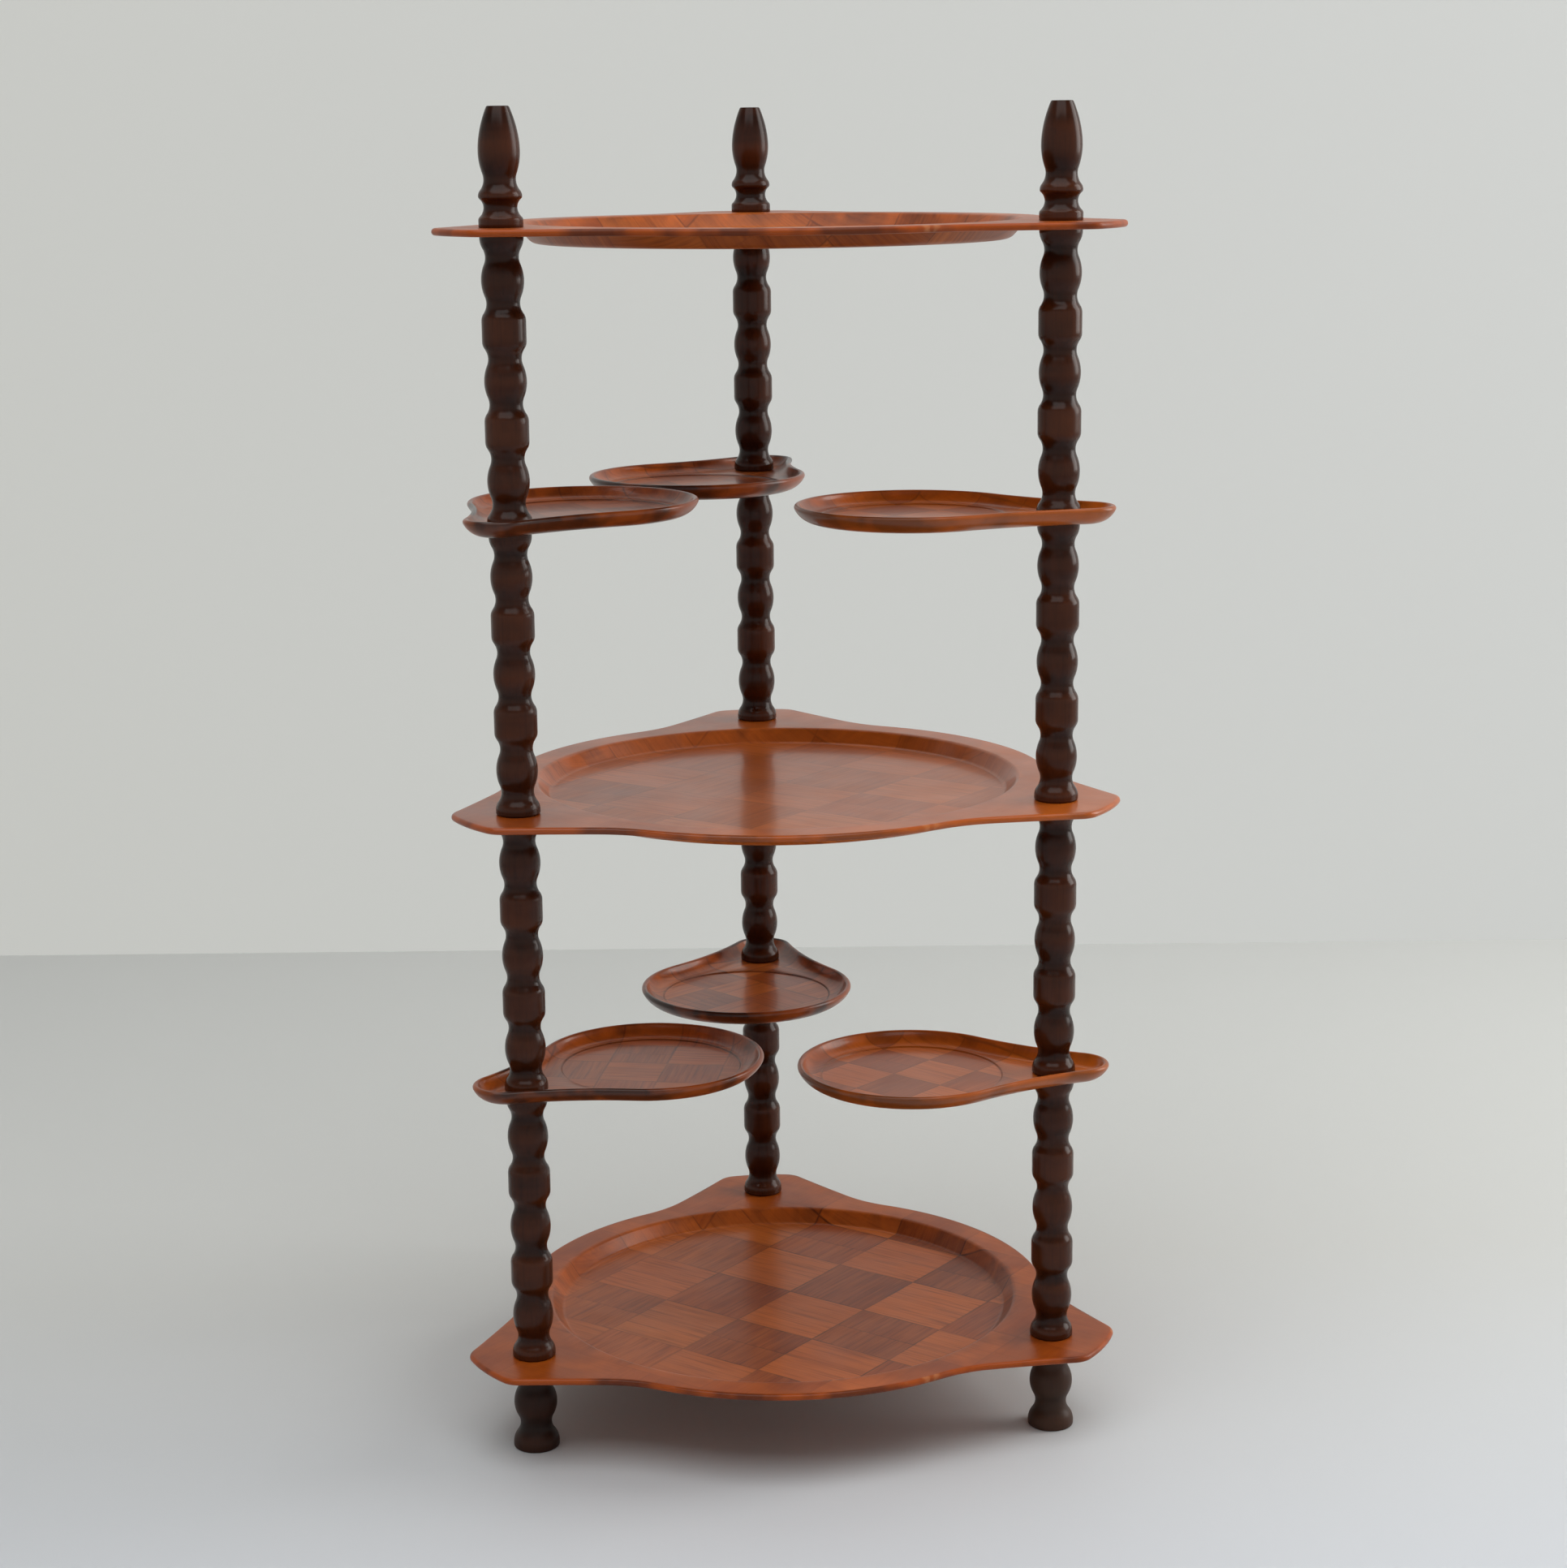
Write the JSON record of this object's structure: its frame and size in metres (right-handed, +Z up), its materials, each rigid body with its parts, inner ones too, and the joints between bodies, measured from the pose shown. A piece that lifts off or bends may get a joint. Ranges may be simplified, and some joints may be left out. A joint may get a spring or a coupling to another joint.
{
  "type": "plant stand",
  "caption": "Tall three-post plant stand with bobbin-turned posts, dished three-eared trays and small rimmed trays that swivel round the posts.",
  "frame": {"origin": "centre of the bounding box on the floor, under the three feet", "axes": "+X to the right seen from the front, +Y to the back towards the single back post, +Z up"},
  "size_m": [0.4988, 0.4868, 1.008],
  "materials": {
    "dark_wood": "dark red-brown stain under a semi-gloss lacquer",
    "tray_wood": "orange-brown veneer laid in squares under a satin lacquer",
    "steel": "plain drawn steel"
  },
  "bodies": {
    "stand": {"left_foot": "dark_wood", "right_foot": "dark_wood", "back_foot": "dark_wood", "left_spindle_1": "dark_wood", "left_spindle_2": "dark_wood", "left_spindle_3": "dark_wood", "left_spindle_4": "dark_wood", "right_spindle_1": "dark_wood", "right_spindle_2": "dark_wood", "right_spindle_3": "dark_wood", "right_spindle_4": "dark_wood", "back_spindle_1": "dark_wood", "back_spindle_2": "dark_wood", "back_spindle_3": "dark_wood", "back_spindle_4": "dark_wood", "left_finial": "dark_wood", "right_finial": "dark_wood", "back_finial": "dark_wood", "left_stud_1": "steel", "left_stud_2": "steel", "left_stud_3": "steel", "left_stud_4": "steel", "left_stud_5": "steel", "right_stud_1": "steel", "right_stud_2": "steel", "right_stud_3": "steel", "right_stud_4": "steel", "right_stud_5": "steel", "back_stud_1": "steel", "back_stud_2": "steel", "back_stud_3": "steel", "back_stud_4": "steel", "back_stud_5": "steel", "bottom_tray": "tray_wood", "middle_tray": "tray_wood", "top_tray": "tray_wood"},
    "lower_left_swivel": {"lower_left_swivel_tray": "tray_wood"},
    "lower_right_swivel": {"lower_right_swivel_tray": "tray_wood"},
    "lower_back_swivel": {"lower_back_swivel_tray": "tray_wood"},
    "upper_left_swivel": {"upper_left_swivel_tray": "tray_wood"},
    "upper_right_swivel": {"upper_right_swivel_tray": "tray_wood"},
    "upper_back_swivel": {"upper_back_swivel_tray": "tray_wood"}
  },
  "joints": [
    {"name": "lower_left_turn", "type": "hinge", "parent": "stand", "child": "lower_left_swivel", "pos_m": [-0.2, -0.14697, 0.2839], "axis": [0, 0, 1], "continuous": true},
    {"name": "lower_right_turn", "type": "hinge", "parent": "stand", "child": "lower_right_swivel", "pos_m": [0.2, -0.14697, 0.2839], "axis": [0, 0, 1], "continuous": true},
    {"name": "lower_back_turn", "type": "hinge", "parent": "stand", "child": "lower_back_swivel", "pos_m": [0, 0.19944, 0.2839], "axis": [0, 0, 1], "continuous": true},
    {"name": "upper_left_turn", "type": "hinge", "parent": "stand", "child": "upper_left_swivel", "pos_m": [-0.2, -0.14697, 0.7089], "axis": [0, 0, 1], "continuous": true},
    {"name": "upper_right_turn", "type": "hinge", "parent": "stand", "child": "upper_right_swivel", "pos_m": [0.2, -0.14697, 0.7089], "axis": [0, 0, 1], "continuous": true},
    {"name": "upper_back_turn", "type": "hinge", "parent": "stand", "child": "upper_back_swivel", "pos_m": [0, 0.19944, 0.7089], "axis": [0, 0, 1], "continuous": true}
  ]
}
